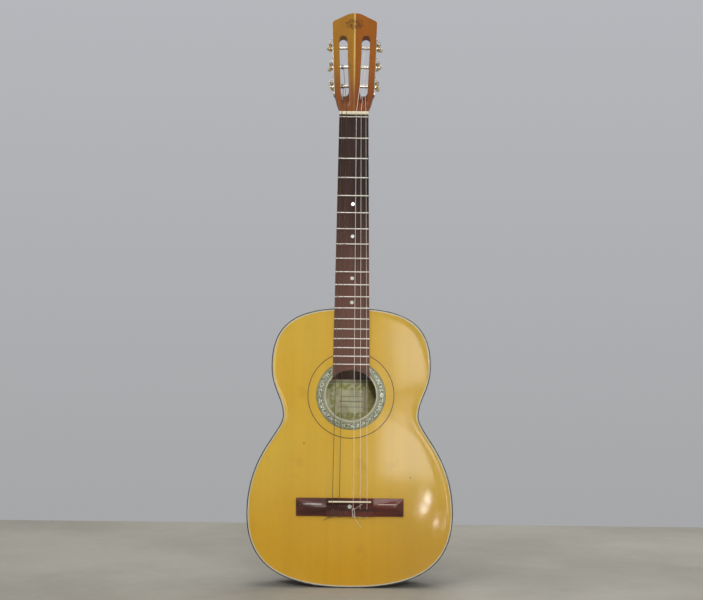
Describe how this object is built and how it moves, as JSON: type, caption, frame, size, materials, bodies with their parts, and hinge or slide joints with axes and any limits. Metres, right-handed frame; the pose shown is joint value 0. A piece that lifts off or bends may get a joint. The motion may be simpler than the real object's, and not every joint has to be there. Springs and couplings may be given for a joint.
{
  "type": "classical guitar",
  "caption": "Acoustic guitar with a figure-eight box, round sound hole, tie bridge, fretted neck and a slotted head with worm-geared tuners; one string is missing.",
  "frame": {"origin": "centre of the bounding box's footprint, at the tail of the sound box", "axes": "+X towards the thin strings' side, +Y from the strings to the back, +Z from the tail to the head"},
  "size_m": [0.35, 0.1086, 0.9839],
  "materials": {
    "top_wood": "glossy amber lacquer",
    "side_wood": "glossy reddish-brown lacquer",
    "block_wood": "bare",
    "dark_trim": "gloss",
    "pale_trim": "gloss",
    "rosette": "pearly under lacquer",
    "paper": "matt printed paper",
    "rosewood": "oiled",
    "bone": "satin",
    "pearl": "pearly",
    "neck_gold": "glossy lacquer",
    "neck_orange": "glossy lacquer",
    "neck_strip": "glossy lacquer",
    "nickel": "polished nickel plate",
    "gear_brass": "aged",
    "button": "translucent cream",
    "nylon": "clear nylon",
    "wound_string": "silver-plated winding"
  },
  "bodies": {
    "guitar": {"soundboard": "top_wood", "back": "side_wood", "side_bass": "side_wood", "side_treble": "side_wood", "top_binding": "dark_trim", "top_purfling": "pale_trim", "back_binding": "dark_trim", "linings": "block_wood", "neck_block": "block_wood", "tail_block": "block_wood", "top_braces": "block_wood", "back_braces": "block_wood", "rosette": "rosette", "rosette_ring": "dark_trim", "label": "paper", "bridge": "rosewood", "saddle": "bone", "bridge_bolt": "nickel", "bridge_dot": "pearl", "neck_bass": "neck_gold", "neck_treble": "neck_orange", "neck_strip": "neck_strip", "heel_cap": "dark_trim", "fingerboard": "rosewood", "frets": "nickel", "position_dots": "pearl", "nut": "bone", "tuner_plate_bass": "nickel", "tuner_plate_treble": "nickel", "plate_screws": "nickel", "string_1": "nylon", "string_2": "nylon", "string_3": "nylon", "string_4": "wound_string", "string_5": "wound_string", "string_6": "wound_string"},
    "tuner_1": {"worm_1": "nickel", "button_1": "button"},
    "roller_1": {"post_1": "nickel", "gear_1": "gear_brass"},
    "tuner_2": {"worm_2": "nickel", "button_2": "button"},
    "roller_2": {"post_2": "nickel", "gear_2": "gear_brass"},
    "tuner_3": {"worm_3": "nickel", "button_3": "button"},
    "roller_3": {"post_3": "nickel", "gear_3": "gear_brass"},
    "tuner_4": {"worm_4": "nickel", "button_4": "button"},
    "roller_4": {"post_4": "nickel", "gear_4": "gear_brass"},
    "tuner_5": {"worm_5": "nickel", "button_5": "button"},
    "roller_5": {"post_5": "nickel", "gear_5": "gear_brass"},
    "tuner_6": {"worm_6": "nickel", "button_6": "button"},
    "roller_6": {"post_6": "nickel", "gear_6": "gear_brass"}
  },
  "joints": [
    {"name": "tuner_1_turn", "type": "hinge", "parent": "guitar", "child": "tuner_1", "pos_m": [0.03892, -0.02018, 0.86104], "axis": [0, 0.9781, -0.2079], "continuous": true},
    {"name": "roller_1_turn", "type": "hinge", "parent": "guitar", "child": "roller_1", "pos_m": [0.03401, -0.02181, 0.8534], "axis": [0.9992, -0.0082, -0.0384], "continuous": true},
    {"name": "tuner_2_turn", "type": "hinge", "parent": "guitar", "child": "tuner_2", "pos_m": [0.04029, -0.01291, 0.89525], "axis": [0, 0.9781, -0.2079], "continuous": true},
    {"name": "roller_2_turn", "type": "hinge", "parent": "guitar", "child": "roller_2", "pos_m": [0.03538, -0.01454, 0.8876], "axis": [0.9992, -0.0082, -0.0384], "continuous": true},
    {"name": "tuner_3_turn", "type": "hinge", "parent": "guitar", "child": "tuner_3", "pos_m": [0.04167, -0.00564, 0.92946], "axis": [0, 0.9781, -0.2079], "continuous": true},
    {"name": "roller_3_turn", "type": "hinge", "parent": "guitar", "child": "roller_3", "pos_m": [0.03676, -0.00726, 0.92181], "axis": [0.9992, -0.0082, -0.0384], "continuous": true},
    {"name": "tuner_4_turn", "type": "hinge", "parent": "guitar", "child": "tuner_4", "pos_m": [-0.04167, -0.00564, 0.92946], "axis": [0, 0.9781, -0.2079], "continuous": true},
    {"name": "roller_4_turn", "type": "hinge", "parent": "guitar", "child": "roller_4", "pos_m": [-0.03676, -0.00726, 0.92181], "axis": [-0.9992, -0.0082, -0.0384], "continuous": true},
    {"name": "tuner_5_turn", "type": "hinge", "parent": "guitar", "child": "tuner_5", "pos_m": [-0.04029, -0.01291, 0.89525], "axis": [0, 0.9781, -0.2079], "continuous": true},
    {"name": "roller_5_turn", "type": "hinge", "parent": "guitar", "child": "roller_5", "pos_m": [-0.03538, -0.01454, 0.8876], "axis": [-0.9992, -0.0082, -0.0384], "continuous": true},
    {"name": "tuner_6_turn", "type": "hinge", "parent": "guitar", "child": "tuner_6", "pos_m": [-0.03892, -0.02018, 0.86104], "axis": [0, 0.9781, -0.2079], "continuous": true},
    {"name": "roller_6_turn", "type": "hinge", "parent": "guitar", "child": "roller_6", "pos_m": [-0.03401, -0.02181, 0.8534], "axis": [-0.9992, -0.0082, -0.0384], "continuous": true}
  ],
  "couplings": [
    {"joint": "roller_1_turn", "follows": "tuner_1_turn", "ratio": 0.071429},
    {"joint": "roller_2_turn", "follows": "tuner_2_turn", "ratio": 0.071429},
    {"joint": "roller_3_turn", "follows": "tuner_3_turn", "ratio": 0.071429},
    {"joint": "roller_4_turn", "follows": "tuner_4_turn", "ratio": 0.071429},
    {"joint": "roller_5_turn", "follows": "tuner_5_turn", "ratio": 0.071429},
    {"joint": "roller_6_turn", "follows": "tuner_6_turn", "ratio": 0.071429}
  ]
}
